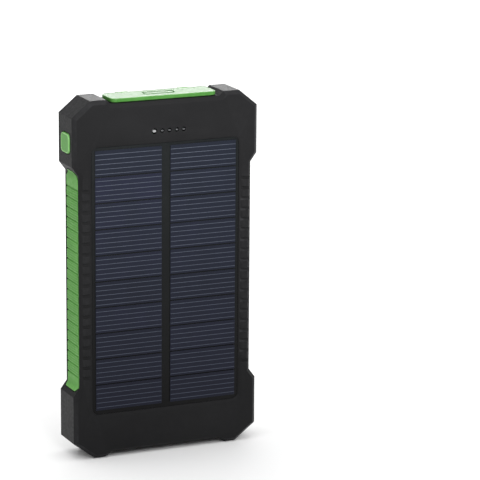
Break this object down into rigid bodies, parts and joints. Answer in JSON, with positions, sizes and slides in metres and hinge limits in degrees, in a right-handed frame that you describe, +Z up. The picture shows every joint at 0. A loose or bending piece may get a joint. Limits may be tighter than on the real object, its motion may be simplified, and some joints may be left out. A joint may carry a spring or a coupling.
{
  "type": "solar phone charger",
  "caption": "Upright slab power bank with a recessed solar panel, corner bumpers, ribbed grips, rubber port cover, side button, rear work lamp and a fold-out stand with a webbing pull loop.",
  "frame": {"origin": "on the standing surface, under the middle of the overall box of the charger as it stands on its two feet", "axes": "+Z up along the length to the port end, -Y the way the solar face looks, +Y to the lamp and stand, power button on the -X side"},
  "size_m": [0.0754, 0.0183, 0.1381],
  "materials": {
    "case_black": "fine moulded texture",
    "panel_black": "fine moulded texture",
    "rubber_green": "soft matt",
    "button_green": "satin",
    "seal_black": "matt",
    "cell_blue": "resin coated silicon with fine silver lines",
    "panel_resin": "resin coated board",
    "diffuser_white": "frosted",
    "webbing_grey": "woven polyester",
    "steel": "plain",
    "pcb_green": "solder mask",
    "board_white": "solder mask",
    "chip_black": "moulded",
    "ferrite": "matt",
    "can_aluminium": "satin",
    "battery_foil": "satin foil",
    "foam": "open cell",
    "lens_clear": "clear",
    "led_white": "clear",
    "wire_red": "satin",
    "wire_black": "satin"
  },
  "bodies": {
    "case": {"front_shell": "case_black", "rear_shell": "case_black", "shell_seal": "seal_black", "side_strip_left": "rubber_green", "side_strip_right": "rubber_green", "cover_anchor_left": "rubber_green", "cover_anchor_right": "rubber_green", "tact_switch": "chip_black", "main_board": "pcb_green", "usb_port_left": "steel", "usb_port_right": "steel", "charging_port": "steel", "inductor": "ferrite", "controller_chip": "chip_black", "charger_chip": "chip_black", "capacitor_1": "can_aluminium", "capacitor_2": "can_aluminium", "indicator_lens_1": "lens_clear", "indicator_lens_2": "lens_clear", "indicator_lens_3": "lens_clear", "indicator_lens_4": "lens_clear", "indicator_lens_5": "lens_clear", "status_led_1": "led_white", "status_led_2": "led_white", "status_led_3": "led_white", "status_led_4": "led_white", "status_led_5": "led_white", "battery_pouch": "battery_foil", "battery_pad": "foam", "protection_board": "pcb_green", "solar_board": "panel_resin", "solar_cells_left": "cell_blue", "solar_cells_right": "cell_blue", "lamp_diffuser": "diffuser_white", "lamp_board": "board_white", "lamp_led_1": "led_white", "lamp_led_2": "led_white", "lamp_led_3": "led_white", "lamp_led_4": "led_white", "screw_cap_1": "rubber_green", "screw_cap_2": "rubber_green", "screw_cap_3": "rubber_green", "screw_cap_4": "rubber_green", "case_screw_1": "steel", "case_screw_2": "steel", "case_screw_3": "steel", "case_screw_4": "steel", "battery_lead_red": "wire_red", "battery_lead_black": "wire_black", "solar_lead_red": "wire_red", "solar_lead_black": "wire_black", "lamp_lead_red": "wire_red", "lamp_lead_black": "wire_black"},
    "port_cover": {"port_cover": "rubber_green"},
    "power_button": {"power_button": "button_green"},
    "stand": {"stand_panel": "panel_black"},
    "pull_loop": {"pull_loop": "webbing_grey"}
  },
  "joints": [
    {"name": "cover_hinge", "type": "hinge", "parent": "case", "child": "port_cover", "pos_m": [0.00025, 0.00565, 0.1373], "axis": [-1, 0, 0], "range_deg": [0, 110]},
    {"name": "power_press", "type": "slide", "parent": "case", "child": "power_button", "axis": [1, 0, 0], "range_m": [0, 0.0005], "stiffness_N_per_m": 1500},
    {"name": "stand_fold", "type": "hinge", "parent": "case", "child": "stand", "pos_m": [0.00025, 0.0053, 0.0981], "axis": [1, 0, 0], "range_deg": [0, 60]},
    {"name": "loop_swing", "type": "hinge", "parent": "stand", "child": "pull_loop", "pos_m": [0.00025, 0.00555, 0.0308], "axis": [1, 0, 0], "range_deg": [-60, 0]}
  ],
  "couplings": [
    {"joint": "loop_swing", "follows": "stand_fold", "ratio": -1}
  ]
}
